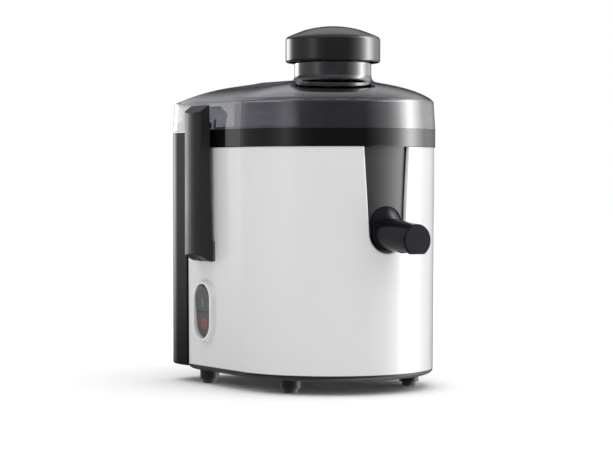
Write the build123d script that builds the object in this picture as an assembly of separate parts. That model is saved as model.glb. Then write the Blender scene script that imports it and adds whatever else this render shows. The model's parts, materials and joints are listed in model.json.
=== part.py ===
from build123d import *
import math
import os

# Centrifugal juicer. Millimetres, +Z up, the spout points to -Y.
# The machine axis (motor and basket) stands at x = 0, y = AXIS_Y; all y below are from it.

AXIS_Y = -4.78          # puts the frame's origin under the middle of the bounding box

# Heights
FOOT_TIP_TOP = 4.0
BASE_Z0 = 11.4
SHELL_Z0 = 16.2
DECK_Z0 = 103.0
DECK_Z1 = 106.0
BAND_Z0 = 201.0
BAND_Z1 = 216.0
SHOULDER_Z = 239.5
NECK_Z = 257.5
CHUTE_TOP = 289.95
CAP_TOP = 302.8

# Plan
BAND_R = 88.0
SHELL_R_TOP = 87.2
SHELL_R_BOT = 86.1
WALL = 2.5
REAR_Y = 91.0           # back face of the motor housing
CAN_Y0 = 92.0           # front face of the pulp container
CAN_Y1 = 138.4
CAN_CORNER = 29.0

# Bowl, basket, chute
BOWL_R = 78.0
BOWL_WALL = 2.2
BOWL_FLOOR = 128.0
DECKPLATE_Z = 210.0
CHUTE_Y = -3.5          # the feed chute stands a little in front of the machine axis
CHUTE_R = 32.3
CHUTE_WALL = 2.2
CHUTE_Z0 = 188.0
PUSHER_R = 29.5
PUSHER_Z0 = 176.0
CAP_R = 39.8
CAP_Z0 = 272.0
CAP_CEILING = 290.0
BASKET_TOP_R = 67.0
BASKET_LOW_R = 40.0
HUB_R = 18.6
BASKET_Z0 = 166.0
BASKET_Z1 = 213.5

# Slot in the front of the housing and the chin of the bowl behind it
SLOT_LOW = 114.8
SLOT_R = 16.3
SLOT_TOP_Z = 221.0
SLOT_TOP_HALF = 22.1
CHIN_R = 84.2
CHIN_GAP = 0.8

# Spout
SPOUT_PIVOT_Y = -72.0
SPOUT_PIVOT_Z = 138.3
SPOUT_BALL_R = 18.5
SPOUT_BALL_WALL = 2.2
SPOUT_CUP_R = 18.9
SPOUT_MOUTH_R = 14.4
SPOUT_MOUTH_LOW = 130.6
SPOUT_FLANGE_R = 13.8
SPOUT_TUBE_R = 12.9
SPOUT_BORE_R = 10.8
SPOUT_ROOT = (-84.0, 131.0)     # (y, z) of the tube's axis at the flange
SPOUT_TIP = (-128.84, 126.1)    # and at the front face of the end plate
SPOUT_PLATE_R = 12.3
SPOUT_PLATE_T = 2.4
SPOUT_FLAT_Z = 115.2

# Clamps
CLAMP_Y = 59.7
CLAMP_W = 29.2
CLAMP_OUT = 101.9
CLAMP_Z0 = 104.0
CLAMP_Z1 = 237.0
CLAMP_LUG_HALF = 1.4
CLAMP_SLOT_HALF = 1.8
CLAMP_PIN_X = 93.6
CLAMP_PIN_Z = 114.0
CLAMP_PIN_R = 1.5

# Switch
SWITCH_Y = 61.0
SWITCH_Z = 63.0
SWITCH_FRONT = 90.5
ROCKER_W = 24.8
ROCKER_H = 44.2
ROCKER_PIVOT_X = 79.0
ROCKER_REST = 4.0       # degrees; the lower half is pressed in

# Motor
SHAFT_R = 4.0
CORE_R = 20.0
STATOR_HALF = 36.0
STATOR_BORE = 20.6
CORE_Z0 = 48.0
CORE_Z1 = 76.0
BRACKET_LOW = 22.0
BRACKET_TOP = 92.0
BRACKET_T = 3.0
BOLT_X = 30.0

FEET = [(-58.4, -31.4), (58.4, -31.4), (-73.2, 78.0), (73.2, 78.0)]
BASE_SCREWS = [(-66.0, 8.0), (66.0, 8.0), (-62.0, 82.0), (62.0, 82.0)]
MOUNTS = [(-30.0, -30.0), (30.0, -30.0), (-30.0, 30.0), (30.0, 30.0)]


# ---------------------------------------------------------------- helpers

def u_plan(w, rear, corner=0.0):
    """Half round at the front about the axis, straight sides, square or rounded back."""
    edges = [ThreePointArc((-w, 0), (0, -w), (w, 0))]
    if corner > 0:
        k = corner * (1 - math.sqrt(0.5))
        edges.append(Line((w, 0), (w, rear - corner)))
        edges.append(ThreePointArc((w, rear - corner), (w - k, rear - k), (w - corner, rear)))
        edges.append(Line((w - corner, rear), (corner - w, rear)))
        edges.append(ThreePointArc((corner - w, rear), (k - w, rear - k), (-w, rear - corner)))
        edges.append(Line((-w, rear - corner), (-w, 0)))
    else:
        edges.append(Line((w, 0), (w, rear)))
        edges.append(Line((w, rear), (-w, rear)))
        edges.append(Line((-w, rear), (-w, 0)))
    return make_face(edges)


def prism(face, z0, z1, taper=0.0):
    return Pos(0, 0, z0) * extrude(face, z1 - z0, taper=taper)


def box(x0, x1, y0, y1, z0, z1):
    size = (x1 - x0, y1 - y0, z1 - z0)
    return Pos((x0 + x1) / 2, (y0 + y1) / 2, (z0 + z1) / 2) * Box(*size)


def rod(r, z0, z1, x=0.0, y=0.0):
    return Pos(x, y, (z0 + z1) / 2) * Cylinder(r, z1 - z0)


def ring(r_out, r_in, z0, z1, x=0.0, y=0.0):
    return rod(r_out, z0, z1, x, y) - rod(r_in, z0 - 1, z1 + 1, x, y)


def turned(points):
    """Solid of revolution about the machine axis from (radius, height) points."""
    profile = make_face(Polyline([(r, 0, z) for r, z in points], close=True))
    return revolve(profile, Axis.Z)


def mirror_x(shape):
    return mirror(shape, about=Plane.YZ)


# ---------------------------------------------------------------- housing

def shell_outer():
    taper = -math.degrees(math.atan((SHELL_R_TOP - SHELL_R_BOT) / (BAND_Z0 - SHELL_Z0)))
    body = prism(u_plan(SHELL_R_BOT, 115), SHELL_Z0, BAND_Z0, taper)
    return body & box(-120, 120, -120, REAR_Y, 0, 300)


def shell_inner():
    taper = -math.degrees(math.atan((SHELL_R_TOP - SHELL_R_BOT) / (BAND_Z0 - SHELL_Z0)))
    body = prism(u_plan(SHELL_R_BOT - WALL, 115), SHELL_Z0, BAND_Z0, taper)
    return body & box(-120, 120, -120, REAR_Y - WALL, 0, 300)


def slot_profile(grow=0.0):
    """Slot outline in the front view: narrow round end below, slightly wider at the top."""
    top = SLOT_TOP_Z
    zc = SLOT_LOW + SLOT_R
    r = SLOT_R + grow
    w = SLOT_TOP_HALF + grow
    lines = [
        ThreePointArc((-r, zc), (0, zc - r), (r, zc)),
        Line((r, zc), (w, top)),
        Line((w, top), (-w, top)),
        Line((-w, top), (-r, zc)),
    ]
    return make_face(lines)


def front_prism(face, y0, y1):
    """Extrude a front-view outline from y0 to y1 (x right, z up)."""
    return Plane.XZ.offset(-y1) * extrude(face, y1 - y0)


def shell():
    body = shell_outer() - shell_inner()
    # deck that closes the motor space, one moulding with the housing
    body += prism(u_plan(84.6, REAR_Y - 1), DECK_Z0, DECK_Z1) & shell_outer()
    body += ring(19.0, 15.5, DECK_Z1 - 1, 126.0)
    body += ring(16.5, 9.0, 123.0, 126.0)
    body -= rod(15.5, DECK_Z0 - 1, 123.0)
    body += ring(19.0, 12.6, DECK_Z0 - 4, DECK_Z0 + 3)
    for x, y in MOUNTS:
        body += rod(5.0, 99.0, DECK_Z0 + 1, x, y)
        body -= rod(1.80, 98.0, 104.4, x, y)
    # screw posts for the base plate
    for x, y in BASE_SCREWS:
        sx = math.copysign(1, x)
        body += rod(5.0, 22.0, 46.0, x, y)
        far = 83.9 if abs(x) < 64 else 84.3
        body += box(min(x, sx * far), max(x, sx * far), y - 1.2, y + 1.2, 22, 46)
        body -= rod(1.80, 21.0, 40.0, x, y)
    body = clamp_mounts(body)
    body = switch_bezel(body)
    body = round_slot(body - front_prism(slot_profile(), -100, -60))
    # cord entry, low on the blank side
    body -= Pos(85, 70, 30) * Rot(0, 90, 0) * Cylinder(5.6, 12)
    return body


def clamp_mounts(body):
    """A pocket behind the foot of each clamp and a lug that carries its pin."""
    for side in (-1, 1):
        x_in = 79.2
        half = CLAMP_W / 2 + 0.6
        lug_t = CLAMP_LUG_HALF
        back = box(x_in, 86.0, CLAMP_Y - half - 2.2, CLAMP_Y + half + 2.2, 101.0, 125.0)
        pocket = box(x_in + 2.2, 95.0, CLAMP_Y - half, CLAMP_Y + half, DECK_Z1 - 0.2, 122.8)
        lug = box(x_in + 1.0, CLAMP_PIN_X, CLAMP_Y - lug_t, CLAMP_Y + lug_t, 110.2, 117.8)
        pin_axis = Pos(CLAMP_PIN_X, CLAMP_Y, CLAMP_PIN_Z) * Rot(90, 0, 0)
        lug += pin_axis * Cylinder(3.8, 2 * lug_t)
        lug -= pin_axis * Cylinder(CLAMP_PIN_R, 12)
        if side < 0:
            back, pocket, lug = mirror_x(back), mirror_x(pocket), mirror_x(lug)
        body = body + back - pocket + lug
    return body


def stadium(width, height):
    return Rot(0, 0, 90) * SlotOverall(height, width)


def side_plane(x):
    """Sketch plane on the left side: local x runs along +Y, local y along +Z."""
    return Plane(origin=(x, SWITCH_Y, SWITCH_Z), x_dir=(0, 1, 0), z_dir=(1, 0, 0))


def switch_bezel(body):
    """Raised stadium rim, one moulding with the left wall."""
    foot = side_plane(-84.5) * stadium(35.4, 55.4)
    waist = side_plane(-87.6) * stadium(33.2, 52.6)
    brow = side_plane(-SWITCH_FRONT + 0.6) * stadium(32.0, 51.0)
    front = side_plane(-SWITCH_FRONT) * stadium(30.8, 49.8)
    rim = loft([foot, waist], ruled=True) + loft([waist, brow], ruled=True)
    rim += loft([brow, front], ruled=True)
    sleeve = extrude(side_plane(-85.0) * stadium(31.5, 50.5), 5.0)
    hole = extrude(side_plane(-95.0) * stadium(26.0, 46.4), 20.0)
    return body + rim + sleeve - hole


def round_slot(body):
    """Soft outer edge round the slot in the front of the housing."""
    picked = []
    for e in body.edges():
        c = e.center()
        b = e.bounding_box()
        on_slot = b.min.Y > -88.5 and b.max.Y < -83.2 and abs(c.X) < 24 and c.Z > SLOT_LOW - 2
        r = math.hypot(c.X, c.Y)
        tall = b.max.Z - b.min.Z > 20 or (c.Z < 125 and b.max.X - b.min.X > 10)
        if on_slot and tall and r > 85.6:
            picked.append(e)
    return fillet(picked, 1.6) if picked else body


def base_plate():
    """Dark lower tray: bevelled rim, flat floor with vents, foot sockets, ledge for the can."""
    rim = prism(u_plan(SHELL_R_BOT - 0.3, REAR_Y), 14.2, SHELL_Z0)
    skirt = loft([
        Pos(0, 0, 14.2) * u_plan(SHELL_R_BOT - 0.3, REAR_Y),
        Pos(0, 0, 12.6) * u_plan(SHELL_R_BOT - 2.0, REAR_Y - 1.5),
    ], ruled=True)
    skirt += loft([
        Pos(0, 0, 12.6) * u_plan(SHELL_R_BOT - 2.0, REAR_Y - 1.5),
        Pos(0, 0, BASE_Z0) * u_plan(SHELL_R_BOT - 5.2, REAR_Y - 3.5),
    ], ruled=True)
    tray = rim + skirt
    tray -= prism(u_plan(SHELL_R_BOT - 5.4, REAR_Y - 5.0), 14.0, SHELL_Z0 + 1)
    lip = prism(u_plan(82.9, 87.6), 14.0, 21.0) - prism(u_plan(80.7, 85.6), 13.0, 22.0)
    tray += lip
    # ledge and rail under the pulp container
    tray += box(-52, 52, REAR_Y - 8, 128, 11.6, 14.2)
    tray += box(-4, 4, REAR_Y + 4, 126, 14.0, 15.8)
    for x, y in FEET:
        tray += rod(8.2, FOOT_TIP_TOP, 14.0, x, y)
        tray -= rod(3.05, FOOT_TIP_TOP - 1, 12.0, x, y)
        tray -= rod(6.05, FOOT_TIP_TOP - 1, 6.0, x, y)
    for x, y in BASE_SCREWS:
        tray += rod(5.0, 13.0, 22.0, x, y)
        tray -= rod(2.0, 10.0, 24.0, x, y)
        tray -= rod(4.2, 10.0, 15.0, x, y)
    for x, y in motor_posts():
        tray += rod(5.0, 13.0, BRACKET_LOW, x, y)
        tray -= rod(1.80, 15.0, BRACKET_LOW + 1, x, y)
    for k in range(-5, 6):
        half = 24 - 0.35 * k * k
        tray -= box(k * 5.0 - 1.2, k * 5.0 + 1.2, -half, half, 10, 18)
    return tray


def motor_posts():
    return [(-BOLT_X - 9, 0.0), (BOLT_X + 9, 0.0)]


def feet():
    parts = []
    for x, y in FEET:
        foot = rod(6.0, 0.0, 6.0, x, y) + rod(3.0, 5.5, 11.5, x, y)
        foot = chamfer(foot.edges().group_by(Axis.Z)[0], 0.8)
        foot -= rod(2.4, -1, 0.8, x, y)
        parts.append(foot)
    return parts


def pan_screw(x, y, z_head, length, up=1, head_r=3.2, shank_r=1.75):
    """Screw with its head's bearing face at z_head, the shank runs towards up."""
    head = rod(head_r, -2.0, 0.0) + rod(shank_r, -0.5, length)
    head -= box(-0.45, 0.45, -2.2, 2.2, -3.0, -1.1)
    head -= box(-2.2, 2.2, -0.45, 0.45, -3.0, -1.1)
    if up < 0:
        head = Rot(180, 0, 0) * head
    return Pos(x, y, z_head) * head


def screws(places, z_head, length, head_r=3.2):
    return [pan_screw(x, y, z_head, length, head_r=head_r) for x, y in places]


def cord_gland():
    sleeve = Pos(87.2, 70, 30) * Rot(0, 90, 0) * Cylinder(5.5, 14.0)
    flange = Pos(88.0, 70, 30) * Rot(0, 90, 0) * Cylinder(8.0, 2.6)
    keep = Pos(81.4, 70, 30) * Rot(0, 90, 0) * Cylinder(7.0, 2.4)
    tail = Pos(94.3, 70, 30) * Rot(0, 90, 0) * Cone(5.5, 4.4, 10.0)
    bore = Pos(90, 70, 30) * Rot(0, 90, 0) * Cylinder(3.4, 40.0)
    return sleeve + flange + keep + tail - bore


# ---------------------------------------------------------------- switch

def rocker():
    """Rocking key, drawn level and then turned to its rest angle."""
    face = side_plane(-89.0) * stadium(ROCKER_W, ROCKER_H)
    key = extrude(face, 6.0)
    key = fillet(key.faces().sort_by(Axis.X)[0].edges(), 0.9)
    key -= Pos(-89.0, SWITCH_Y, SWITCH_Z) * Box(1.2, ROCKER_W + 2, 0.7)
    hub = Pos(ROCKER_PIVOT_X * -1, SWITCH_Y, SWITCH_Z) * Rot(90, 0, 0) * Cylinder(4.0, 12.0)
    hub += box(-84.0, -79.0, SWITCH_Y - 6, SWITCH_Y + 6, SWITCH_Z - 4, SWITCH_Z + 4)
    bore = Pos(ROCKER_PIVOT_X * -1, SWITCH_Y, SWITCH_Z) * Rot(90, 0, 0) * Cylinder(1.55, 20.0)
    key = key + hub - bore
    pivot = (-ROCKER_PIVOT_X, SWITCH_Y, SWITCH_Z)
    return Pos(*pivot) * Rot(0, -ROCKER_REST, 0) * Pos(*[-v for v in pivot]) * key


def switch_body():
    """Black box behind the wall: frame ears, axle and two terminals."""
    plate = extrude(side_plane(-80.0) * stadium(34.0, 53.0), 2.5)
    plate -= extrude(side_plane(-81.0) * stadium(26.4, 46.8), 5.0)
    case = box(-79.8, -56.0, SWITCH_Y - 14, SWITCH_Y + 14, SWITCH_Z - 24.4, SWITCH_Z + 24.4)
    case -= box(-90.0, -72.0, SWITCH_Y - 12.6, SWITCH_Y + 12.6, SWITCH_Z - 23, SWITCH_Z + 23)
    for s in (-1, 1):
        ear = box(-81.2, -71.0, SWITCH_Y + s * 9.0 - 1.6, SWITCH_Y + s * 9.0 + 1.6,
                  SWITCH_Z - 3.0, SWITCH_Z + 3.0)
        case += ear
    axle = Pos(-ROCKER_PIVOT_X, SWITCH_Y, SWITCH_Z) * Rot(90, 0, 0) * Cylinder(1.5, 20.0)
    body = plate + case + axle
    for s in (-1, 1):
        body += box(-57.0, -49.0, SWITCH_Y - 3.2, SWITCH_Y + 3.2,
                    SWITCH_Z + s * 12 - 0.4, SWITCH_Z + s * 12 + 0.4)
    return body


# ---------------------------------------------------------------- bowl and spout

def juice_bowl():
    """Collector: rim band on the housing, round trough, collar and the chin in the slot."""
    band = prism(u_plan(BAND_R, REAR_Y), BAND_Z0, BAND_Z1)
    band -= prism(u_plan(BAND_R - 2.2, REAR_Y - 2.2), BAND_Z0 - 1, BAND_Z1 + 1)
    band = fillet(band.edges().filter_by(Plane.XY).group_by(Axis.Z)[0], 0.5)
    plate = prism(u_plan(BAND_R - 1.0, REAR_Y - 1.0), DECKPLATE_Z, DECKPLATE_Z + 2.2)
    body = band + plate - box(-84, 84, REAR_Y - 4, REAR_Y + 2, DECKPLATE_Z + 2.2, 230)
    # wall, sloping floor and central collar
    body += rod(BOWL_R, BOWL_FLOOR, DECKPLATE_Z + 1)
    body -= rod(BOWL_R - BOWL_WALL, BOWL_FLOOR + 2.4, BAND_Z1 + 5)
    body += turned([(12.4, BOWL_FLOOR), (14.6, BOWL_FLOOR), (14.6, 148.0), (12.4, 148.0)])
    body -= rod(12.4, BOWL_FLOOR - 1, 148.5)
    body += turned([(13.5, 130.0), (60.0, 130.0), (13.5, 135.0)])
    # chin: curved tongue that fills the slot
    tongue = ring(CHIN_R, CHIN_R - 2.4, SLOT_LOW + CHIN_GAP, BAND_Z0 + 2)
    tongue &= front_prism(slot_profile(-CHIN_GAP), -100, -60)
    body += tongue
    # webs that tie the chin to the wall
    for x in (-13.0, 13.0):
        body += box(x - 1.1, x + 1.1, -82.6, -70.0, 130.0, DECKPLATE_Z + 1) - rod(BOWL_R - 1, 100, 230)
    return socket(body)


def socket(body):
    """Cup behind the chin that holds the ball end of the spout, open to the trough."""
    py, pz = SPOUT_PIVOT_Y, SPOUT_PIVOT_Z
    r = SPOUT_MOUTH_R
    low = SPOUT_MOUTH_LOW
    block_back = py + 6.0
    body += box(-21.5, 21.5, -83.0, block_back, 114.4, pz + 21.0) & rod(83.0, 100, 200)
    ball_room = Pos(0, py, pz) * Sphere(SPOUT_CUP_R)
    body -= ball_room & box(-25, 25, -100, py + 3.6, 100, 170)
    body -= ball_room & box(-25, 25, -100, block_back + 1.0, BOWL_FLOOR + 2.4, 170)
    mouth = make_face([
        ThreePointArc((-r, low), (0, low - r), (r, low)),
        Line((r, low), (r, pz)),
        ThreePointArc((r, pz), (0, pz + r), (-r, pz)),
        Line((-r, pz), (-r, low)),
    ])
    return body - front_prism(mouth, -100.0, -79.4)


def along_y(shape, y, z):
    """Stand a shape drawn about Z so that its axis runs along Y through (0, y, z)."""
    return Pos(0, y, z) * Rot(90, 0, 0) * shape


def spout():
    """Ball end, flange, sloping tube with an opening below, and the flat-bottomed end plate."""
    py, pz = SPOUT_PIVOT_Y, SPOUT_PIVOT_Z
    ry, rz = SPOUT_ROOT
    ty, tz = SPOUT_TIP
    slope = math.atan2(rz - tz, ry - ty)
    length = math.hypot(ty - ry, tz - rz)
    along = Plane(origin=(0, ry, rz), x_dir=(1, 0, 0), z_dir=(0, -math.cos(slope), -math.sin(slope)))
    plate_back = ty + SPOUT_PLATE_T
    tube = along * (Pos(0, 0, length / 2) * Cylinder(SPOUT_TUBE_R, length + 6))
    tube &= box(-20, 20, ty + 0.9, ry + 2.0, 90, 170)
    body = Pos(0, py, pz) * Sphere(SPOUT_BALL_R)
    body -= box(-20, 20, py + 3.0, py + 25, pz - 25, pz + 25)
    body += tube
    body += along_y(Cylinder(SPOUT_FLANGE_R, 4.8), -82.6, SPOUT_MOUTH_LOW)
    body += along_y(Cone(SPOUT_FLANGE_R - 0.3, SPOUT_TUBE_R - 0.1, 1.8), -85.9, SPOUT_MOUTH_LOW + 0.2)
    bore = along * (Pos(0, 0, length / 2) * Cylinder(SPOUT_BORE_R, length + 20))
    body -= bore & box(-20, 20, plate_back, -82.6, 90, 170)
    body -= Pos(0, py, pz) * Sphere(SPOUT_BALL_R - SPOUT_BALL_WALL)
    body += along_y(Cylinder(SPOUT_PLATE_R, SPOUT_PLATE_T), ty + SPOUT_PLATE_T / 2, tz)
    # flat under the front half, with the pouring opening just behind the plate
    body -= box(-20, 20, ty - 5, -107.0, 90, SPOUT_FLAT_Z)
    return body - box(-7.5, 7.5, plate_back + 0.8, -108.5, 100, 124)


# ---------------------------------------------------------------- lid and pusher

DOME = [
    # half width, rear extent, corner radius, height
    (86.6, 136.9, 29.0, SHOULDER_Z - 0.4),
    (85.6, 135.2, 29.0, SHOULDER_Z + 0.9),
    (79.4, 125.0, 30.0, 244.5),
    (66.6, 115.0, 30.0, 249.6),
    (45.4, 98.0, 30.0, 254.6),
    (36.0, 79.0, 30.0, 256.9),
]


def dome_body(inset=0.0, drop=0.0):
    sections = []
    for w, rear, corner, z in DOME:
        sections.append(Pos(0, 0, z - drop) * u_plan(w - inset, rear - inset, corner - inset))
    body = loft(sections[1:])
    body += loft(sections[:2], ruled=True)
    return body


def lid():
    """Smoke cover: outer wall, dome, chute, pulp guide and the recesses for the clamps."""
    outer = loft([Pos(0, 0, BAND_Z1) * u_plan(BAND_R, CAN_Y1, CAN_CORNER),
                  Pos(0, 0, SHOULDER_Z - 0.4) * u_plan(86.6, 136.9, 29.0)], ruled=True)
    outer += dome_body()
    inner = loft([Pos(0, 0, BAND_Z1 - 1) * u_plan(BAND_R - 2.0, CAN_Y1 - 2.0, CAN_CORNER - 2.0),
                  Pos(0, 0, SHOULDER_Z - 2.4) * u_plan(84.6, 134.9, 27.0)], ruled=True)
    inner += dome_body(2.0, 2.0)
    body = outer - inner
    # skirt that centres the lid inside the rim band
    skirt = prism(u_plan(85.5, 86.0), 213.2, 218.0) - prism(u_plan(84.0, 95.0), 212.0, 219.0)
    skirt -= box(-90, 90, 80.0, 100.0, 200.0, 230.0)
    body += skirt
    # spiral wall round the basket, open towards the pulp container
    guide = ring(83.0, 81.6, 214.2, 250.0) - box(-90, 90, 20.0, 90.0, 200, 260)
    body += guide & outer
    # feed chute with a concave root where it meets the dome
    root = make_face([
        Line((CHUTE_R - 1, 0, 254.9), (CHUTE_R + 4.3, 0, 254.9)),
        ThreePointArc((CHUTE_R + 4.3, 0, 254.9), (CHUTE_R + 1.5, 0, 257.2), (CHUTE_R + 0.02, 0, 261.0)),
        Line((CHUTE_R + 0.02, 0, 261.0), (CHUTE_R - 1, 0, 261.0)),
        Line((CHUTE_R - 1, 0, 261.0), (CHUTE_R - 1, 0, 254.9)),
    ])
    body += rod(CHUTE_R, CHUTE_Z0, CHUTE_TOP, 0, CHUTE_Y)
    body += Pos(0, CHUTE_Y, 0) * revolve(root, Axis.Z)
    body -= rod(CHUTE_R - CHUTE_WALL, CHUTE_Z0 - 1, CHUTE_TOP + 1, 0, CHUTE_Y)
    for side in (-1, 1):
        pad = box(83.4, 87.0, CLAMP_Y - 13.5, CLAMP_Y + 13.5, BAND_Z1 + 0.2, 224.6)
        notch = box(85.7, 90.0, CLAMP_Y - 11.5, CLAMP_Y + 11.5, 216.9, 222.7)
        if side < 0:
            pad, notch = mirror_x(pad), mirror_x(notch)
        body = body + (pad & outer) - notch
    return body


def pusher():
    """Hollow plunger that fills the chute, closed below."""
    body = rod(PUSHER_R, PUSHER_Z0, CAP_CEILING)
    body = fillet(body.edges().group_by(Axis.Z)[0], 2.0)
    body -= rod(PUSHER_R - 2.2, PUSHER_Z0 + 2.5, CHUTE_TOP + 5.0)
    for k in range(3):
        a = math.radians(90 + 120 * k)
        body -= rod(0.9, PUSHER_Z0 + 6, CHUTE_TOP - 6, PUSHER_R * math.cos(a), PUSHER_R * math.sin(a))
    return Pos(0, CHUTE_Y, 0) * body


def pusher_cap():
    """Domed knob with a deep skirt round the mouth of the chute."""
    brow = 290.8
    heel = CAP_Z0 + 2.2
    knob = make_face([
        Line((0, 0, CAP_CEILING), (0, 0, CAP_TOP)),
        Spline([(0, 0, CAP_TOP), (15.0, 0, 301.4), (23.4, 0, 299.5), (31.8, 0, 296.4), (37.2, 0, 294.1)],
               tangents=[(1, 0, 0), (0.88, 0, -0.47)]),
        ThreePointArc((37.2, 0, 294.1), (39.05, 0, 292.85), (CAP_R, 0, brow)),
        Line((CAP_R, 0, brow), (CAP_R, 0, heel)),
        ThreePointArc((CAP_R, 0, heel), (39.2, 0, CAP_Z0 + 0.65), (37.6, 0, CAP_Z0)),
        Line((37.6, 0, CAP_Z0), (36.8, 0, CAP_Z0 + 0.6)),
        Line((36.8, 0, CAP_Z0 + 0.6), (36.8, 0, 288.5)),
        Line((36.8, 0, 288.5), (35.4, 0, CAP_CEILING)),
        Line((35.4, 0, CAP_CEILING), (0, 0, CAP_CEILING)),
    ])
    return Pos(0, CHUTE_Y, 0) * revolve(knob, Axis.Z)


# ---------------------------------------------------------------- pulp container

def pulp_container():
    plan = can_plan(0.0)
    body = prism(plan, 14.2, 214.5, 0.0)
    low = body.edges().filter_by(Plane.XY).group_by(Axis.Z)[0]
    body = fillet(low, 2.0)
    body -= prism(can_plan(2.2), 18.2, 220.0)
    # groove that rides on the rail, and a low front edge for the pulp
    body -= box(-4.4, 4.4, 80.0, 130.0, 10.0, 16.0)
    body -= box(-82, 82, CAN_Y0 - 2, CAN_Y0 + 3, 211.4, 220.0)
    # finger recess in the back
    grip = Pos(0, CAN_Y1 + 14.0, 120.0) * Sphere(24.0)
    body += (Pos(0, CAN_Y1 + 14.0, 120.0) * Sphere(26.2)) & prism(can_plan(0.3), 60, 180)
    return body - grip


def can_plan(inset):
    w = BAND_R - 0.2 - inset
    y0 = CAN_Y0 + inset
    y1 = CAN_Y1 - inset
    r = CAN_CORNER - inset
    k = r * (1 - math.sqrt(0.5))
    return make_face([
        Line((-w, y0), (w, y0)),
        Line((w, y0), (w, y1 - r)),
        ThreePointArc((w, y1 - r), (w - k, y1 - k), (w - r, y1)),
        Line((w - r, y1), (r - w, y1)),
        ThreePointArc((r - w, y1), (k - w, y1 - k), (-w, y1 - r)),
        Line((-w, y1 - r), (-w, y0)),
    ])


# ---------------------------------------------------------------- clamps

def clamp():
    """Right-hand clamp: long bar, hinged low, with a hook that bites over the lid's rim."""
    y0 = CLAMP_Y - CLAMP_W / 2
    y1 = CLAMP_Y + CLAMP_W / 2
    plan = make_face([
        Line((87.0, y0), (99.3, y0)),
        ThreePointArc((99.3, y0), (99.9, y0 + 0.25), (100.15, y0 + 0.9)),
        ThreePointArc((100.15, y0 + 0.9), (CLAMP_OUT, CLAMP_Y), (99.9, y1 - 1.8)),
        ThreePointArc((99.9, y1 - 1.8), (99.3, y1 - 0.5), (98.0, y1)),
        Line((98.0, y1), (87.0, y1)),
        Line((87.0, y1), (87.0, y0)),
    ])
    # side view: bevelled foot, inner face that leans away from the wall, sloping top
    outline = make_face(Polyline([
        (88.5, 105.2), (91.5, 105.7), (103.0, 111.9), (103.0, 229.1), (92.2, 236.6), (91.7, 236.6),
        (91.3, 224.0), (90.8, 190.0), (90.5, 157.0), (89.3, 128.0), (88.4, 111.0),
    ], close=True))
    bar = prism(plan, CLAMP_Z0, CLAMP_Z1) & front_prism(outline, y0 - 5, y1 + 5)
    bar += box(86.1, 92.4, CLAMP_Y - 11.0, CLAMP_Y + 11.0, 217.2, 222.2)
    for z in (218.9, 221.2, 224.5):
        bar -= Pos(95.5, y0, z) * Box(7.0, 0.8, 0.8)
    # the middle of the foot is open for the lug
    bar -= box(80.0, 97.8, CLAMP_Y - CLAMP_SLOT_HALF, CLAMP_Y + CLAMP_SLOT_HALF, 100.0, 124.0)
    bar -= Pos(CLAMP_PIN_X, CLAMP_Y, CLAMP_PIN_Z) * Rot(90, 0, 0) * Cylinder(CLAMP_PIN_R + 0.05, 18.2)
    # weight-saving pocket along the back
    return bar - box(80.0, 96.0, y0 + 3.5, y1 - 3.5, 134.0, 208.0)


def clamp_pins():
    pins = []
    for side in (-1, 1):
        pin = Pos(side * CLAMP_PIN_X, CLAMP_Y, CLAMP_PIN_Z) * Rot(90, 0, 0) * Cylinder(CLAMP_PIN_R, 18.0)
        pins.append(pin)
    return pins


# ---------------------------------------------------------------- turning parts

def motor_shaft():
    body = rod(SHAFT_R, 20.0, 146.0)
    return chamfer(body.edges().group_by(Axis.Z)[-1], 0.6)


def armature_core():
    body = ring(CORE_R, SHAFT_R, CORE_Z0, CORE_Z1)
    for k in range(12):
        a = math.radians(30 * k)
        body -= rod(1.5, CORE_Z0 - 1, CORE_Z1 + 1, 17.6 * math.cos(a), 17.6 * math.sin(a))
    return body


def armature_winding():
    low = turned([(6.0, 45.0), (9.0, 42.5), (15.0, 42.5), (18.5, 45.0), (18.5, CORE_Z0), (6.0, CORE_Z0)])
    top = turned([(6.0, CORE_Z1), (18.5, CORE_Z1), (18.5, 79.0), (15.0, 81.0), (9.0, 81.0), (6.0, 79.0)])
    return [low, top]


def commutator():
    body = ring(13.0, SHAFT_R, 31.0, 41.5)
    for k in range(24):
        body -= Rot(0, 0, 15 * k) * (Pos(13.0, 0, 36.5) * Box(1.0, 0.4, 12.0))
    return body


def cooling_fan():
    body = ring(9.0, SHAFT_R, 82.4, 89.4) + ring(24.5, 8.0, 82.4, 83.8)
    for k in range(10):
        blade = Pos(16.5, 0, 86.4) * Rot(0, 0, 14) * Box(17.0, 1.2, 5.6)
        body += Rot(0, 0, 36 * k) * blade
    return body & rod(24.5, 80, 95)


def drive_coupling():
    """Splined dog on the end of the shaft, reached through the bowl's collar."""
    body = rod(10.0, 128.0, 150.0) + rod(7.0, 149.0, 162.0)
    for k in range(6):
        body += Rot(0, 0, 60 * k) * (Pos(7.4, 0, 155.0) * Box(3.2, 2.6, 14.0))
    return body - rod(SHAFT_R, 127.0, 146.0)


def basket_hub():
    """Skirted hub with a splined socket, closed above; the basket's floor is round it."""
    body = ring(HUB_R, 16.4, 142.0, BASKET_Z0 + 2.0) + ring(17.5, 7.1, 152.0, BASKET_Z0 + 2.0)
    for k in range(6):
        body -= Rot(0, 0, 60 * k) * (Pos(7.9, 0, 156.0) * Box(3.6, 3.0, 14.0))
    return body + rod(17.5, BASKET_Z0, BASKET_Z0 + 2.0)


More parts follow.
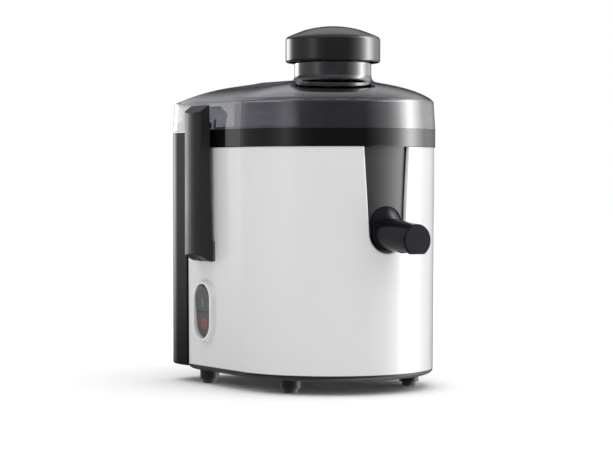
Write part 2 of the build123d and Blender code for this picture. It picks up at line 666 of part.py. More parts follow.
def basket_frame():
    """Floor, cone ribs and a wide rim with a drip lip."""
    body = ring(BASKET_LOW_R + 1.4, HUB_R, BASKET_Z0, BASKET_Z0 + 2.0)
    body += ring(BASKET_LOW_R + 2.2, BASKET_LOW_R - 2.0, BASKET_Z0, BASKET_Z0 + 4.0)
    body += turned([(BASKET_TOP_R + 0.6, 211.0), (72.0, 213.6), (79.0, 213.6), (79.0, 215.4),
                    (71.6, 215.4), (BASKET_TOP_R - 1.4, 213.2), (BASKET_TOP_R - 1.4, 211.0)])
    body += ring(74.4, 73.0, 205.0, 214.0)
    rise = BASKET_Z1 - BASKET_Z0 - 2.0
    run = BASKET_TOP_R - BASKET_LOW_R
    lean = math.degrees(math.atan2(run, rise))
    mid_r = (BASKET_TOP_R + BASKET_LOW_R) / 2 + 0.9
    mid_z = (BASKET_Z0 + BASKET_Z1) / 2 + 0.6
    for k in range(12):
        rib = Rot(0, lean, 0) * Box(2.0, 2.6, math.hypot(rise, run))
        body += Rot(0, 0, 30 * k) * (Pos(mid_r, 0, mid_z) * rib)
    body += turned([(mid_r - 1.6, 188.8), (mid_r + 0.6, 188.8), (mid_r + 1.8, 191.2), (mid_r - 0.4, 191.2)])
    body -= sieve_mesh()
    return body - rod(BASKET_LOW_R - 1.8, BASKET_Z0 + 2.0, BASKET_Z0 + 5.0)


def sieve_mesh():
    """Band of the fine strainer between the foot ring and the rim."""
    z0, z1 = BASKET_Z0 + 2.6, BASKET_Z1 - 1.2
    r0 = BASKET_LOW_R - 1.2
    r1 = BASKET_TOP_R - 1.4
    t = 0.8
    return turned([(r0, z0), (r0 + t, z0), (r1 + t, z1), (r1, z1)])


def grater_disc():
    """Pressed steel disc with rings of raised teeth."""
    body = rod(BASKET_LOW_R - 2.0, BASKET_Z0 + 2.0, BASKET_Z0 + 3.2)
    body += rod(7.0, BASKET_Z0 + 2.5, BASKET_Z0 + 4.6)
    for n, r in ((10, 12.0), (16, 19.0), (22, 26.0), (28, 33.0)):
        for k in range(n):
            a = 360.0 / n * k + r
            tooth = Pos(r, 0, BASKET_Z0 + 4.1) * Rot(0, 0, 25) * Cone(1.3, 0.3, 2.2)
            body += Rot(0, 0, a) * tooth
    return body


# ---------------------------------------------------------------- fixed motor parts

def stator_core():
    body = box(-STATOR_HALF, STATOR_HALF, -STATOR_HALF, STATOR_HALF, CORE_Z0, CORE_Z1)
    body = fillet(body.edges().filter_by(Axis.Z), 9.0)
    body -= rod(STATOR_BORE, CORE_Z0 - 1, CORE_Z1 + 1)
    for s in (-1, 1):
        window = ring(30.0, 24.5, CORE_Z0 - 1, CORE_Z1 + 1) & box(-15, 15, -40, 40, 0, 100)
        body -= window & box(-40, 40, min(0, s * 40), max(0, s * 40), 0, 100)
        body -= rod(2.05, CORE_Z0 - 1, CORE_Z1 + 1, s * BOLT_X, 0)
    return body


def field_coils():
    coils = []
    for s in (-1, 1):
        sector = box(-17, 17, min(s * 18, s * 40), max(s * 18, s * 40), 0, 100)
        loop = ring(29.6, 24.9, 43.2, 81.6) & box(-14.6, 14.6, min(0, s * 40), max(0, s * 40), 0, 100)
        loop += (ring(31.5, 23.0, CORE_Z1, 81.6) + ring(31.5, 23.0, 43.2, CORE_Z0)) & sector
        coils.append(loop)
    return coils


def bracket(z, upper):
    body = box(-46, 46, -7.5, 7.5, z, z + BRACKET_T)
    if upper:
        body += box(-37, 37, -37, -23, z, z + BRACKET_T) + box(-37, 37, 23, 37, z, z + BRACKET_T)
        body += box(-8, 8, -30, 30, z, z + BRACKET_T)
        body += rod(14.0, 90.2, 98.2)
        body -= rod(11.0, 90.0, 97.2)
        body -= rod(6.0, 89.0, 99.0)
        for x, y in MOUNTS:
            body -= rod(2.2, z - 1, z + 5, x, y)
        for s in (-1, 1):
            body += box(s * BOLT_X - 4.5, s * BOLT_X + 4.5, -4.5, 4.5, CORE_Z1, z)
    else:
        body += box(-9, 9, -34, 34, z, z + BRACKET_T)
        body += rod(14.0, 18.5, 28.0)
        body -= rod(11.0, 19.6, 29.0)
        for s in (-1, 1):
            body += box(s * BOLT_X - 4.5, s * BOLT_X + 4.5, -4.5, 4.5, z, CORE_Z0)
        for x, y in motor_posts():
            body -= rod(2.0, z - 1, z + 5, x, y)
    low, top = (CORE_Z1 - 1, z + 5) if upper else (z - 2, CORE_Z0 + 1)
    for s in (-1, 1):
        body -= rod(2.05, low, top, s * BOLT_X, 0)
    return body


def through_bolts():
    bolts = []
    for s in (-1, 1):
        bolt = rod(2.0, BRACKET_LOW - 0.5, 99.0, s * BOLT_X, 0) + rod(3.4, 19.4, BRACKET_LOW, s * BOLT_X, 0)
        nut = extrude(Pos(s * BOLT_X, 0, BRACKET_TOP + BRACKET_T) * RegularPolygon(3.6, 6), 3.0)
        bolts.append(bolt + nut)
    return bolts


def ball_bearings():
    made = []
    for z0 in (20.6, 90.2):
        body = ring(11.0, 8.6, z0, z0 + 7.0) + ring(6.4, SHAFT_R + 0.05, z0, z0 + 7.0)
        body += ring(8.7, 6.3, z0 + 1.0, z0 + 6.0)
        made.append(body)
    return made


def brush_gear():
    holders, brushes = [], []
    for s in (-1, 1):
        holder = box(-5.6, 5.6, 16.0, 33.0, 25.0, 42.5)
        holder -= box(-3.1, 3.1, 10.0, 31.0, 30.9, 41.1)
        brush = box(-3.0, 3.0, 12.0, 27.0, 31.0, 41.0) - rod(13.04, 25, 50)
        if s < 0:
            holder, brush = mirror(holder, about=Plane.XZ), mirror(brush, about=Plane.XZ)
        holders.append(holder)
        brushes.append(brush)
    return holders, brushes


def motor_dampers():
    return [ring(6.0, 2.3, BRACKET_TOP + BRACKET_T, 99.0, x, y) for x, y in MOUNTS]


def shaft_seal():
    return ring(9.0, 4.06, 123.2, 125.8) + ring(11.5, 8.5, 126.0, 127.2) + ring(9.0, 8.2, 125.0, 127.0)


def capacitor():
    body = box(40, 58, 40, 66, 24, 38)
    return fillet(body.edges().filter_by(Axis.Z), 2.0) + box(38, 60, 38, 68, 14.0, 24.0)


def interlocks():
    """Small sealed switch behind each clamp, on the inside of the wall."""
    made = []
    for s in (-1, 1):
        case = box(66.0, 79.2, CLAMP_Y - 10, CLAMP_Y + 10, 106.0, 116.0)
        case += box(70.0, 76.0, CLAMP_Y - 4, CLAMP_Y + 4, 115.0, 118.0)
        made.append(case if s > 0 else mirror_x(case))
    return made


# ---------------------------------------------------------------- assembly

def assembly():
    right = clamp()
    holders, brushes = brush_gear()
    pins = clamp_pins()
    return {
        "body_shell": shell(),
        "base_plate": base_plate(),
        "rubber_feet": feet(),
        "base_screws": screws(BASE_SCREWS, 15.0, 22.0, head_r=3.8),
        "cord_gland": cord_gland(),
        "switch_rocker": rocker(),
        "switch_case": switch_body(),
        "juice_bowl": juice_bowl(),
        "spout": spout(),
        "lid": lid(),
        "pusher_tube": pusher(),
        "pusher_cap": pusher_cap(),
        "pulp_container": pulp_container(),
        "clamp_right": right,
        "clamp_left": mirror_x(right),
        "clamp_pins": pins,
        "motor_shaft": motor_shaft(),
        "armature_core": armature_core(),
        "armature_winding": armature_winding(),
        "commutator": commutator(),
        "cooling_fan": cooling_fan(),
        "drive_coupling": drive_coupling(),
        "basket_hub": basket_hub(),
        "basket_frame": basket_frame(),
        "sieve_mesh": sieve_mesh(),
        "grater_disc": grater_disc(),
        "stator_core": stator_core(),
        "field_coils": field_coils(),
        "upper_bracket": bracket(BRACKET_TOP, True),
        "lower_bracket": bracket(BRACKET_LOW, False),
        "through_bolts": through_bolts(),
        "mount_screws": screws(MOUNTS, BRACKET_TOP, 12.0),
        "bracket_screws": [pan_screw(x, y, BRACKET_LOW + BRACKET_T, 9.0, up=-1)
                           for x, y in motor_posts()],
        "motor_dampers": motor_dampers(),
        "ball_bearings": ball_bearings(),
        "brush_holders": holders,
        "carbon_brushes": brushes,
        "shaft_seal": shaft_seal(),
        "capacitor": capacitor(),
        "interlock_switches": interlocks(),
    }


def main():
    os.makedirs("parts", exist_ok=True)
    for name, shape in assembly().items():
        if isinstance(shape, list):
            solids = [solid for piece in shape for solid in piece.solids()]
        else:
            solids = list(shape.solids())
        placed = [Pos(0, AXIS_Y, 0) * solid for solid in solids]
        shape = placed[0] if len(placed) == 1 else Compound(children=placed)
        export_step(shape, os.path.join("parts", name + ".step"))


main()
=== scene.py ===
import json
import math

import bmesh
import bpy
from mathutils import Matrix, Vector


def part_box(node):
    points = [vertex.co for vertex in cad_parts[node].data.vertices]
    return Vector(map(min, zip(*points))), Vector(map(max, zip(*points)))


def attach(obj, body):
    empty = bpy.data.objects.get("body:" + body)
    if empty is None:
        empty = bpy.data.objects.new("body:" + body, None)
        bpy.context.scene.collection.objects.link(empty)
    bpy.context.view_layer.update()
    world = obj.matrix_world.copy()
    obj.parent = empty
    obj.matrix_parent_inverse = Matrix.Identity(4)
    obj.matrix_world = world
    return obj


# Centrifugal juicer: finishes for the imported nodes, the two marks on the switch, and the studio.

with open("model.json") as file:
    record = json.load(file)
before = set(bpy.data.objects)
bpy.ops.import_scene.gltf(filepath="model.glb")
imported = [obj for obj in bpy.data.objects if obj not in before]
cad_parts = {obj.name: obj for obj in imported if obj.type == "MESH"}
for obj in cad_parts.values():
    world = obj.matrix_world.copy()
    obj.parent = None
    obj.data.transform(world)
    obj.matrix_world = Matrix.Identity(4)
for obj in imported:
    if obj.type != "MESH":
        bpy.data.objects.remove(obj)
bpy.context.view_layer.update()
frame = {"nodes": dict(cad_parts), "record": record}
nodes = frame["nodes"]


def point(name):
    low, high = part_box(name)
    return (Vector(low) + Vector(high)) / 2


AXIS = point("motor_shaft")
AX, AY = AXIS.x, AXIS.y
HOUSING_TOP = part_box("body_shell")[1][2]
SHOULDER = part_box("clamp_left")[1][2] + 0.0029      # the lid's dome starts just above the clamps


# ------------------------------------------------------------------ node helpers

def new_material(name):
    mat = bpy.data.materials.new(name)
    mat.use_nodes = True
    tree = mat.node_tree
    tree.nodes.clear()
    out = tree.nodes.new("ShaderNodeOutputMaterial")
    shader = tree.nodes.new("ShaderNodeBsdfPrincipled")
    tree.links.new(shader.outputs["BSDF"], out.inputs["Surface"])
    return mat, tree, shader


def node(tree, kind, **settings):
    made = tree.nodes.new(kind)
    for key, value in settings.items():
        if key.startswith("in_"):
            made.inputs[key[3:].replace("_", " ")].default_value = value
        else:
            setattr(made, key, value)
    return made


def coords(tree, scale=(1, 1, 1)):
    tex = node(tree, "ShaderNodeTexCoord")
    mapping = node(tree, "ShaderNodeMapping")
    mapping.inputs["Scale"].default_value = scale
    tree.links.new(tex.outputs["Object"], mapping.inputs["Vector"])
    return mapping.outputs["Vector"]


def noise(tree, vector, scale, detail=3.0, rough=0.5):
    tex = node(tree, "ShaderNodeTexNoise", in_Scale=scale, in_Detail=detail, in_Roughness=rough)
    tree.links.new(vector, tex.inputs["Vector"])
    return tex.outputs["Fac"]


def ramp(tree, fac, low, high):
    """Colour from low to high over the middle of a noise."""
    made = node(tree, "ShaderNodeValToRGB")
    for element, position, color in zip(made.color_ramp.elements, (0.35, 0.65), (low, high)):
        element.position = position
        element.color = color
    tree.links.new(fac, made.inputs["Fac"])
    return made.outputs["Color"]


def window(tree, value, low, high, at_low=0.0, at_high=1.0, smooth=True):
    """at_low up to low, at_high from high on, and a blend between them."""
    kind = "SMOOTHSTEP" if smooth else "LINEAR"
    made = node(tree, "ShaderNodeMapRange", interpolation_type=kind)
    for key, number in (("From Min", low), ("From Max", high), ("To Min", at_low), ("To Max", at_high)):
        made.inputs[key].default_value = number
    tree.links.new(value, made.inputs["Value"])
    return made.outputs["Result"]


def spread(tree, fac, low, high):
    """A value from low to high over the middle of a noise."""
    return window(tree, fac, 0.3, 0.7, low, high, smooth=False)


def combine(tree, operation, *values):
    """One Math node over sockets and plain numbers."""
    made = node(tree, "ShaderNodeMath", operation=operation)
    for socket, value in zip(made.inputs, values):
        if isinstance(value, (int, float)):
            socket.default_value = value
        else:
            tree.links.new(value, socket)
    return made.outputs[0]


def blend(tree, factor, a, b, blend_type="MIX"):
    """One colour Mix node; factor, a and b are sockets or plain values."""
    made = node(tree, "ShaderNodeMix", data_type="RGBA", blend_type=blend_type)
    for key, value in (("Factor", factor), ("A", a), ("B", b)):
        if isinstance(value, (float, tuple)):
            made.inputs[key].default_value = value
        else:
            tree.links.new(value, made.inputs[key])
    return made.outputs["Result"]


def bumped(tree, height, distance, under=None):
    """Normal of one layer of relief, laid over another."""
    made = node(tree, "ShaderNodeBump")
    made.inputs["Distance"].default_value = distance
    tree.links.new(height, made.inputs["Height"])
    if under:
        tree.links.new(under, made.inputs["Normal"])
    return made.outputs["Normal"]


def rounded(tree, radius):
    made = node(tree, "ShaderNodeBevel", samples=4)
    made.inputs["Radius"].default_value = radius
    return made.outputs["Normal"]


def shade(color, k):
    return tuple(min(1.0, c * k) for c in color[:3]) + (1.0,)


WORN_EDGE = 0.0006
WORN_LIGHTER = 2.2


def edge_mask(tree):
    """1 on a worn convex or concave edge, 0 on the open face."""
    geo = node(tree, "ShaderNodeNewGeometry")
    dot = node(tree, "ShaderNodeVectorMath", operation="DOT_PRODUCT")
    tree.links.new(rounded(tree, WORN_EDGE), dot.inputs[0])
    tree.links.new(geo.outputs["Normal"], dot.inputs[1])
    return window(tree, dot.outputs["Value"], 0.995, 0.90, smooth=False)


def moulded(name, color, rough=0.3, rough_span=0.06, tone=0.05, grain=900.0, grain_depth=0.00002,
            sway=40.0, sway_depth=0.00004, coat=0.0, coat_rough=0.05, wear=0.0, soften=0.0,
            specular=0.5, sheen=0.0):
    """Moulded plastic or rubber: tone and gloss drift, fine grain, slight waviness, worn edges."""
    mat, tree, shader = new_material(name)
    vec = coords(tree)
    drift = noise(tree, vec, 9.0, 4.0, 0.6)
    tint = ramp(tree, drift, shade(color, 1 - tone), shade(color, 1 + tone))
    if wear > 0:
        patch = spread(tree, noise(tree, vec, 160.0, 5.0, 0.7), 0.0, wear)
        amount = combine(tree, "MULTIPLY", edge_mask(tree), patch)
        tint = blend(tree, amount, tint, shade(color, WORN_LIGHTER))
    tree.links.new(tint, shader.inputs["Base Color"])
    smear = noise(tree, coords(tree, (1.0, 1.0, 0.35)), 28.0, 5.0, 0.65)
    gloss = spread(tree, smear, rough - rough_span, rough + rough_span)
    tree.links.new(gloss, shader.inputs["Roughness"])
    shader.inputs["Specular IOR Level"].default_value = specular
    shader.inputs["Coat Weight"].default_value = coat
    shader.inputs["Coat Roughness"].default_value = coat_rough
    shader.inputs["Sheen Weight"].default_value = sheen
    corner = rounded(tree, soften) if soften > 0 else None
    fine = bumped(tree, noise(tree, vec, grain, 2.0, 0.5), grain_depth, corner)
    wave = bumped(tree, noise(tree, vec, sway, 1.0, 0.4), sway_depth, fine)
    tree.links.new(wave, shader.inputs["Normal"])
    return mat


def metal(name, color, rough=0.28, brush=(1, 1, 1), brush_scale=400.0, depth=0.00002, tone=0.08,
          spots=0.0):
    """Machined, drawn or pressed metal with a brushed or speckled finish."""
    mat, tree, shader = new_material(name)
    vec = coords(tree, brush)
    lines = noise(tree, vec, brush_scale, 3.0, 0.6)
    drift = noise(tree, coords(tree), 30.0, 4.0, 0.6)
    tint = ramp(tree, drift, shade(color, 1 - tone), shade(color, 1 + tone))
    tree.links.new(tint, shader.inputs["Base Color"])
    shader.inputs["Metallic"].default_value = 1.0
    tree.links.new(spread(tree, lines, rough - 0.07, rough + 0.09 + spots), shader.inputs["Roughness"])
    tree.links.new(bumped(tree, lines, depth), shader.inputs["Normal"])
    return mat


def height_and_depth(tree, vec):
    split = node(tree, "ShaderNodeSeparateXYZ")
    tree.links.new(vec, split.inputs[0])
    return split.outputs["Z"], split.outputs["Y"]


def smoke_clear(name, front, backlit_rear, edge, backlit_y, dome_z):
    """Clear smoke-tinted plastic with painted shade in front for the dark inside seen through it and
    painted light to the back for the backdrop seen through it, with faint flow waves and wipe marks.
    """
    mat, tree, shader = new_material(name)
    vec = coords(tree)
    drift = noise(tree, vec, 7.0, 3.0, 0.5)
    height, depth = height_and_depth(tree, vec)
    # painted shade and light: the tint runs by depth and height from the shaded front colour to the backlit
    # rear colour
    dome = window(tree, height, *dome_z, 1.0, 0.45, smooth=False)
    clear = combine(tree, "MULTIPLY", window(tree, depth, *backlit_y), dome)
    tint = blend(tree, clear, ramp(tree, drift, shade(front, 0.96), shade(front, 1.04)),
                 ramp(tree, drift, shade(backlit_rear, 0.98), shade(backlit_rear, 1.02)))
    # the wall looks thicker, so darker, where it turns away
    turned_away = node(tree, "ShaderNodeLayerWeight", in_Blend=0.5).outputs["Facing"]
    edged = blend(tree, window(tree, turned_away, 0.80, 0.98, 0.0, 0.85), tint, edge)
    tree.links.new(edged, shader.inputs["Base Color"])
    wipe = noise(tree, coords(tree, (1.0, 1.0, 0.3)), 35.0, 5.0, 0.7)
    tree.links.new(spread(tree, wipe, 0.02, 0.06), shader.inputs["Roughness"])
    shader.inputs["IOR"].default_value = 1.49
    shader.inputs["Transmission Weight"].default_value = 1.0
    shader.inputs["Specular IOR Level"].default_value = 0.9
    shader.inputs["Coat Weight"].default_value = 0.7
    shader.inputs["Coat Roughness"].default_value = 0.03
    flow = bumped(tree, noise(tree, vec, 45.0, 2.0, 0.4), 0.00003)
    tree.links.new(flow, shader.inputs["Normal"])
    return mat


# ------------------------------------------------------------------ materials

WHITE = (0.72, 0.72, 0.72)
DARK = (0.022, 0.0225, 0.0235)
# Lid colours: the smoke tint is darkened in front as painted shade for the dark inside, and paled to the
# back as painted light from the backdrop behind
LID_FRONT_SHADED = (0.275, 0.28, 0.315)
LID_REAR_BACKLIT = (0.88, 0.885, 0.90)
LID_EDGE = (0.05, 0.05, 0.06, 1)
LID_BACKLIT_Y = (AY + 0.078, AY + 0.112)              # the lid's wall turns from painted shade to painted backdrop light over this stretch
LID_DOME_Z = (SHOULDER - 0.003, SHOULDER + 0.001)   # above it the dome keeps more of the painted shade
RIM_GLOSS = (0.0028, 0.0026, 0.0034, 1)
CHIN_SATIN = (0.020, 0.020, 0.021, 1)
CHIN_ROUGHER = 0.30


def bowl_black():
    """Gloss rim band; the chin and spout cup below it are satin and a touch lighter."""
    mat = moulded("bowl_black", (1.0, 1.0, 1.0), rough=0.10, rough_span=0.03, tone=0.1, grain=1500.0,
                  grain_depth=0.000004, sway=26.0, sway_depth=0.00002, soften=0.0004)
    tree = mat.node_tree
    shader = next(n for n in tree.nodes if n.type == "BSDF_PRINCIPLED")
    tint = shader.inputs["Base Color"].links[0].from_socket
    gloss = shader.inputs["Roughness"].links[0].from_socket
    height, _ = height_and_depth(tree, coords(tree))
    below = window(tree, height, HOUSING_TOP + 0.0002, HOUSING_TOP - 0.0008, smooth=False)
    toned = blend(tree, 1.0, blend(tree, below, RIM_GLOSS, CHIN_SATIN), tint, "MULTIPLY")
    tree.links.new(toned, shader.inputs["Base Color"])
    tree.links.new(combine(tree, "MULTIPLY_ADD", below, CHIN_ROUGHER, gloss), shader.inputs["Roughness"])
    return mat


MATERIALS = {
    "shell": moulded("shell_white", WHITE, rough=0.16, rough_span=0.04, tone=0.012, grain=1500.0,
                     grain_depth=0.000004, sway=22.0, sway_depth=0.00002, coat=0.2,
                     coat_rough=0.04, soften=0.0005),
    "base": moulded("base_satin", (0.022, 0.020, 0.024), rough=0.42, grain=1100.0,
                    grain_depth=0.00002, wear=0.3, soften=0.0004, specular=0.25),
    "rubber": moulded("foot_rubber", (0.030, 0.027, 0.030), rough=0.62, grain=1400.0,
                      grain_depth=0.00004, tone=0.12, sheen=0.2, wear=0.6),
    "gland": moulded("gland_rubber", (0.025, 0.025, 0.026), rough=0.58, grain=1300.0, tone=0.1),
    "rocker": moulded("rocker_satin", (0.085, 0.090, 0.089), rough=0.45, grain=1600.0,
                      grain_depth=0.00002, wear=0.35, soften=0.0003),
    "case": moulded("switch_black", (0.018, 0.018, 0.019), rough=0.36, grain=1000.0, wear=0.3),
    "bowl": bowl_black(),
    "spout": moulded("spout_black", (0.0075, 0.0062, 0.0115), rough=0.15, rough_span=0.05, tone=0.1,
                     grain=1200.0, grain_depth=0.000006, wear=0.2, soften=0.0005, specular=0.15),
    "lid": smoke_clear("lid_smoke", LID_FRONT_SHADED, LID_REAR_BACKLIT, LID_EDGE, LID_BACKLIT_Y, LID_DOME_Z),
    "pusher": moulded("pusher_black", (0.006, 0.006, 0.0068), rough=0.27, rough_span=0.04, tone=0.1,
                      grain=1100.0, grain_depth=0.000006, specular=1.0, coat=0.6, coat_rough=0.12),
    "cap": moulded("cap_gloss", (0.013, 0.013, 0.0145), rough=0.15, rough_span=0.04, tone=0.06,
                   grain=1400.0, grain_depth=0.000004, coat=0.25, coat_rough=0.05, wear=0.25),
    "can": moulded("can_satin", (0.0045, 0.0045, 0.005), rough=0.17, rough_span=0.04, tone=0.06,
                   grain=1300.0, grain_depth=0.00002, wear=0.35, soften=0.0004, specular=0.12),
    "clamp": moulded("clamp_satin", DARK, rough=0.36, rough_span=0.05, tone=0.06, grain=1300.0,
                     grain_depth=0.00002, wear=0.4, soften=0.0006, specular=0.22),
    "carrier": moulded("basket_grey", (0.55, 0.55, 0.54), rough=0.34, tone=0.03, grain=1200.0),
    "coupling": moulded("coupling_acetal", (0.66, 0.65, 0.60), rough=0.33, tone=0.03),
    "fan": moulded("fan_nylon", (0.20, 0.20, 0.19), rough=0.45, tone=0.08),
    "holder": metal("holder_brass", (0.62, 0.47, 0.20), rough=0.30),
    "carbon": moulded("carbon", (0.03, 0.03, 0.033), rough=0.55, grain=2200.0,
                      grain_depth=0.00005, tone=0.2),
    "seal": moulded("seal_silicone", (0.25, 0.05, 0.035), rough=0.45, tone=0.06),
    "capacitor": moulded("capacitor_box", (0.70, 0.53, 0.07), rough=0.28, tone=0.03),
    "zinc": metal("zinc_plated", (0.62, 0.62, 0.60), rough=0.30, brush_scale=700.0),
    "steel": metal("ground_steel", (0.64, 0.64, 0.65), rough=0.20, brush=(1, 1, 30)),
    "sheet": metal("stainless_sheet", (0.66, 0.66, 0.67), rough=0.24, brush=(12, 1, 1)),
    "bearing": metal("bearing_steel", (0.70, 0.70, 0.71), rough=0.13, brush=(1, 1, 40)),
    "core": metal("laminations", (0.22, 0.22, 0.23), rough=0.44, brush=(1, 1, 55),
                  brush_scale=120.0, depth=0.0001, tone=0.15),
    "diecast": metal("diecast_zinc", (0.55, 0.56, 0.57), rough=0.42, brush_scale=900.0,
                     depth=0.00003, spots=0.05),
    "copper": metal("enamelled_copper", (0.62, 0.25, 0.10), rough=0.27, brush=(1, 1, 30),
                    brush_scale=90.0, depth=0.00025, tone=0.12),
    "mark_grey": moulded("mark_grey", (0.22, 0.225, 0.22), rough=0.5, tone=0.08),
    "mark_red": moulded("mark_red", (0.62, 0.035, 0.035), rough=0.45, tone=0.08),
    "bars": metal("commutator_bars", (0.78, 0.42, 0.24), rough=0.22, brush=(1, 1, 25)),
}

FINISH = {
    "body_shell": "shell", "base_plate": "base", "rubber_feet": "rubber", "base_screws": "zinc",
    "cord_gland": "gland", "switch_rocker": "rocker", "switch_case": "case", "juice_bowl": "bowl",
    "spout": "spout", "lid": "lid", "pusher_tube": "pusher", "pusher_cap": "cap",
    "pulp_container": "can", "clamp_right": "clamp", "clamp_left": "clamp", "clamp_pins": "steel",
    "motor_shaft": "steel", "armature_core": "core", "armature_winding": "copper",
    "commutator": "bars", "cooling_fan": "fan", "drive_coupling": "coupling",
    "basket_hub": "carrier", "basket_frame": "carrier", "sieve_mesh": "sheet", "grater_disc": "sheet",
    "stator_core": "core", "field_coils": "copper", "upper_bracket": "diecast",
    "lower_bracket": "diecast", "through_bolts": "zinc", "mount_screws": "zinc",
    "bracket_screws": "zinc", "motor_dampers": "gland", "ball_bearings": "bearing",
    "brush_holders": "holder", "carbon_brushes": "carbon", "shaft_seal": "seal",
    "capacitor": "capacitor", "interlock_switches": "case",
}

for name, obj in nodes.items():
    obj.data.materials.clear()
    obj.data.materials.append(MATERIALS[FINISH[name]])


# ------------------------------------------------------------------ switch marks

ROCKER_REST = math.radians(4.0)     # at rest the lower half is pressed in
ROCKER_FACE = 0.0100        # from the rocker's axis to its face
MARK_LIFT = 0.00004
MARK_DEPTH = 0.00020
ON_WIDTH, ON_HEIGHT, ON_Z = 0.0018, 0.0069, 0.0082
OFF_OUTER, OFF_INNER, OFF_Z = 0.0037, 0.0026, -0.0095


def rocker_pivot():
    joints = frame["record"]["behaviour"]["joints"]
    return Vector(next(j["pos_m"] for j in joints if j["name"] == "rocker_tilt"))


def mark(name, outline, inner, material):
    """Thin printed mark on the rocker, full or with a hole: (y, z) points from the middle of its face."""
    mesh = bpy.data.meshes.new(name)
    bm = bmesh.new()
    front = -(ROCKER_FACE + MARK_LIFT)
    count = len(outline)
    if inner:
        rows = []
        for ring, x in ((outline, front), (inner, front), (inner, front + MARK_DEPTH),
                        (outline, front + MARK_DEPTH)):
            rows.append([bm.verts.new((x, y, z)) for y, z in ring])
        for i in range(count):
            j = (i + 1) % count
            for k in range(4):
                low, high = rows[k], rows[(k + 1) % 4]
                bm.faces.new((low[i], low[j], high[j], high[i]))
    else:
        near = [bm.verts.new((front, y, z)) for y, z in outline]
        far = [bm.verts.new((front + MARK_DEPTH, y, z)) for y, z in outline]
        bm.faces.new(near)
        bm.faces.new(list(reversed(far)))
        for i in range(count):
            j = (i + 1) % count
            bm.faces.new((near[j], near[i], far[i], far[j]))
    bmesh.ops.recalc_face_normals(bm, faces=bm.faces)
    bm.to_mesh(mesh)
    bm.free()
    mesh.transform(Matrix.Translation(rocker_pivot()) @ Matrix.Rotation(-ROCKER_REST, 4, "Y"))
    mesh.materials.append(material)
    piece = bpy.data.objects.new(name, mesh)
    bpy.context.collection.objects.link(piece)
    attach(piece, "rocker")
    return piece


def circle(radius, z, count=48):
    turns = [2 * math.pi * k / count for k in range(count)]
    return [(radius * math.cos(a), z + radius * math.sin(a)) for a in turns]


def bar(width, height, z):
    return [(-width / 2, z - height / 2), (width / 2, z - height / 2),
            (width / 2, z + height / 2), (-width / 2, z + height / 2)]


mark("mark_on", bar(ON_WIDTH, ON_HEIGHT, ON_Z), None, MATERIALS["mark_grey"])
mark("mark_off", circle(OFF_OUTER, OFF_Z), circle(OFF_INNER, OFF_Z), MATERIALS["mark_red"])


# ------------------------------------------------------------------ stage, light, camera

def stage_floor():
    mesh = bpy.data.meshes.new("floor")
    bm = bmesh.new()
    bmesh.ops.create_grid(bm, x_segments=1, y_segments=1, size=6.0)
    bm.to_mesh(mesh)
    bm.free()
    floor = bpy.data.objects.new("floor", mesh)
    bpy.context.collection.objects.link(floor)
    mat, tree, shader = new_material("floor_paper")
    vec = coords(tree)
    tree.links.new(ramp(tree, noise(tree, vec, 3.0), (0.93, 0.93, 0.93, 1), (0.95, 0.95, 0.95, 1)),
                   shader.inputs["Base Color"])
    shader.inputs["Roughness"].default_value = 0.9
    shader.inputs["Specular IOR Level"].default_value = 0.1
    mesh.materials.append(mat)
    floor.visible_glossy = False


# Soft boxes seen by reflections: (angle round the object from the camera's side, strength).
# A large box stands to the right. Low down, a bright one stands behind on the left and a weak one in front.
KEY_BOX = [(-180, 0.0), (38, 0.0), (50, 0.5), (59, 0.9), (70, 1.8), (81, 4.3), (90, 9.0), (96, 11.0),
           (101, 9.5), (107, 6.5), (115, 3.4), (123, 1.9), (146, 0.5), (165, 0.0)]
LOW_BOXES = [(-180, 0.12), (-164, 0.15), (-154, 1.2), (-145, 4.2), (-136, 5.2), (-127, 3.0),
             (-117, 0.40), (-98, 0.40), (-72, 0.32), (-58, 0.65), (-50, 1.05), (-42, 0.60),
             (-30, 0.12), (0, 0.04), (35, 0.05), (60, 0.0), (140, 0.2), (165, 0.15), (180, 0.12)]
PEAK = 12.0
LOW_SPILL = 0.03            # how much of the low boxes reaches higher up
FLOOR_SPILL = 0.05          # and below the horizon
TOP_BOX = 0.62
GROUND_GLOW = 0.25

SKY_HORIZON = 0.24
SKY_ZENITH = 1.85
SKY_SIDE = 0.30
SKY_CLEAR = 0.90            # what shows through the clear lid

VIEW_AZIMUTH = math.radians(32.44)
VIEW_DISTANCE = 1.7747
VIEW_HEIGHT = 0.1761
VIEW_PITCH = 0.0250
VIEW_YAW = 0.01144
LENS_MM = 123.67


def along(tree, ray, direction):
    made = node(tree, "ShaderNodeVectorMath", operation="DOT_PRODUCT")
    tree.links.new(ray, made.inputs[0])
    made.inputs[1].default_value = direction
    return made.outputs["Value"]


def boxes(tree, turn, stops):
    """Strength round the object, from (angle, strength) stops."""
    made = node(tree, "ShaderNodeValToRGB")
    made.color_ramp.interpolation = "B_SPLINE"
    elements = made.color_ramp.elements
    while len(elements) < len(stops):
        elements.new(0.5)
    for element, (angle, strength) in zip(elements, stops):
        k = strength / PEAK
        element.position = (angle + 180.0) / 360.0
        element.color = (k, k, k, 1.0)
    tree.links.new(turn, made.inputs["Fac"])
    return combine(tree, "MULTIPLY", made.outputs["Color"], PEAK)


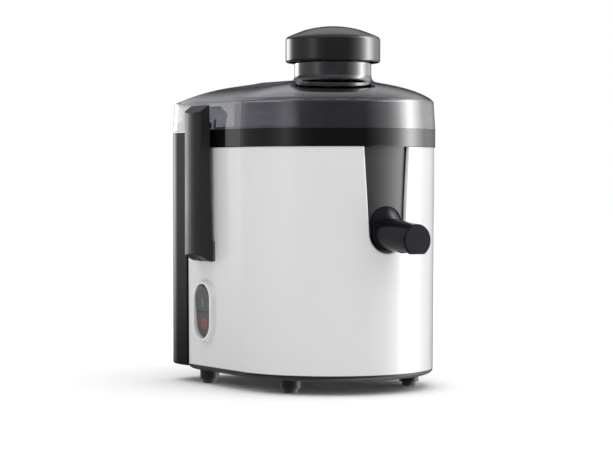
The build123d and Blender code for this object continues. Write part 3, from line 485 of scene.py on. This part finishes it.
def world_light():
    """White backdrop for the camera, a graded sky for diffuse light, soft boxes for reflections."""
    world = bpy.data.worlds.new("studio")
    bpy.context.scene.world = world
    world.use_nodes = True
    world.cycles.sampling_method = "NONE"
    tree = world.node_tree
    tree.nodes.clear()
    ray = tree.nodes.new("ShaderNodeTexCoord").outputs["Generated"]
    path = tree.nodes.new("ShaderNodeLightPath")
    front = (-math.sin(VIEW_AZIMUTH), -math.cos(VIEW_AZIMUTH), 0.0)
    right = (math.cos(VIEW_AZIMUTH), -math.sin(VIEW_AZIMUTH), 0.0)
    to_front, to_right = along(tree, ray, front), along(tree, ray, right)
    up = along(tree, ray, (0.0, 0.0, 1.0))
    turn = combine(tree, "ARCTAN2", to_right, to_front)
    turn = combine(tree, "ADD", combine(tree, "DIVIDE", turn, 2 * math.pi), 0.5)
    # up is the sine of the height above the horizon
    key = combine(tree, "MULTIPLY", boxes(tree, turn, KEY_BOX), window(tree, up, 0.50, 0.85, 1.0, 0.0))
    low = combine(tree, "MULTIPLY", boxes(tree, turn, LOW_BOXES),
                  window(tree, up, 0.10, 0.28, 1.0, LOW_SPILL))
    low = combine(tree, "MULTIPLY", low, window(tree, up, -0.10, -0.005, FLOOR_SPILL, 1.0))
    top = window(tree, up, 0.20, 0.62, 0.0, TOP_BOX)
    ground = window(tree, up, -0.20, -0.7, 0.0, GROUND_GLOW)
    mirror_sky = combine(tree, "ADD", combine(tree, "ADD", key, low), combine(tree, "ADD", top, ground))
    graded_sky = combine(tree, "ADD", window(tree, up, -0.2, 1.0, SKY_HORIZON, SKY_ZENITH),
                         combine(tree, "MULTIPLY", window(tree, to_right, 0.0, 1.0), SKY_SIDE))
    strengths = ((mirror_sky, path.outputs["Is Glossy Ray"]),
                 (SKY_CLEAR, path.outputs["Is Transmission Ray"]),
                 (1.0, path.outputs["Is Camera Ray"]))
    shader = node(tree, "ShaderNodeBackground")
    tree.links.new(graded_sky, shader.inputs["Strength"])
    last = shader.outputs["Background"]
    for strength, switch in strengths:
        shader = node(tree, "ShaderNodeBackground")
        if isinstance(strength, float):
            shader.inputs["Strength"].default_value = strength
        else:
            tree.links.new(strength, shader.inputs["Strength"])
        shader.inputs["Color"].default_value = (1.0, 1.0, 1.0, 1.0)
        mix = node(tree, "ShaderNodeMixShader")
        tree.links.new(switch, mix.inputs["Fac"])
        tree.links.new(last, mix.inputs[1])
        tree.links.new(shader.outputs["Background"], mix.inputs[2])
        last = mix.outputs["Shader"]
    out = tree.nodes.new("ShaderNodeOutputWorld")
    tree.links.new(last, out.inputs["Surface"])


def place_camera():
    camera_data = bpy.data.cameras.new("camera")
    camera_data.sensor_width = 36.0
    camera_data.lens = LENS_MM
    camera_data.clip_end = 50.0
    camera = bpy.data.objects.new("camera", camera_data)
    bpy.context.collection.objects.link(camera)
    camera.location = (AX - VIEW_DISTANCE * math.sin(VIEW_AZIMUTH),
                       AY - VIEW_DISTANCE * math.cos(VIEW_AZIMUTH), VIEW_HEIGHT)
    heading = VIEW_AZIMUTH - VIEW_YAW
    look = Vector((math.sin(heading) * math.cos(VIEW_PITCH),
                   math.cos(heading) * math.cos(VIEW_PITCH), -math.sin(VIEW_PITCH)))
    camera.rotation_euler = look.to_track_quat("-Z", "Y").to_euler()
    bpy.context.scene.camera = camera


place_camera()
stage_floor()
world_light()
bpy.context.scene.view_settings.view_transform = "Standard"
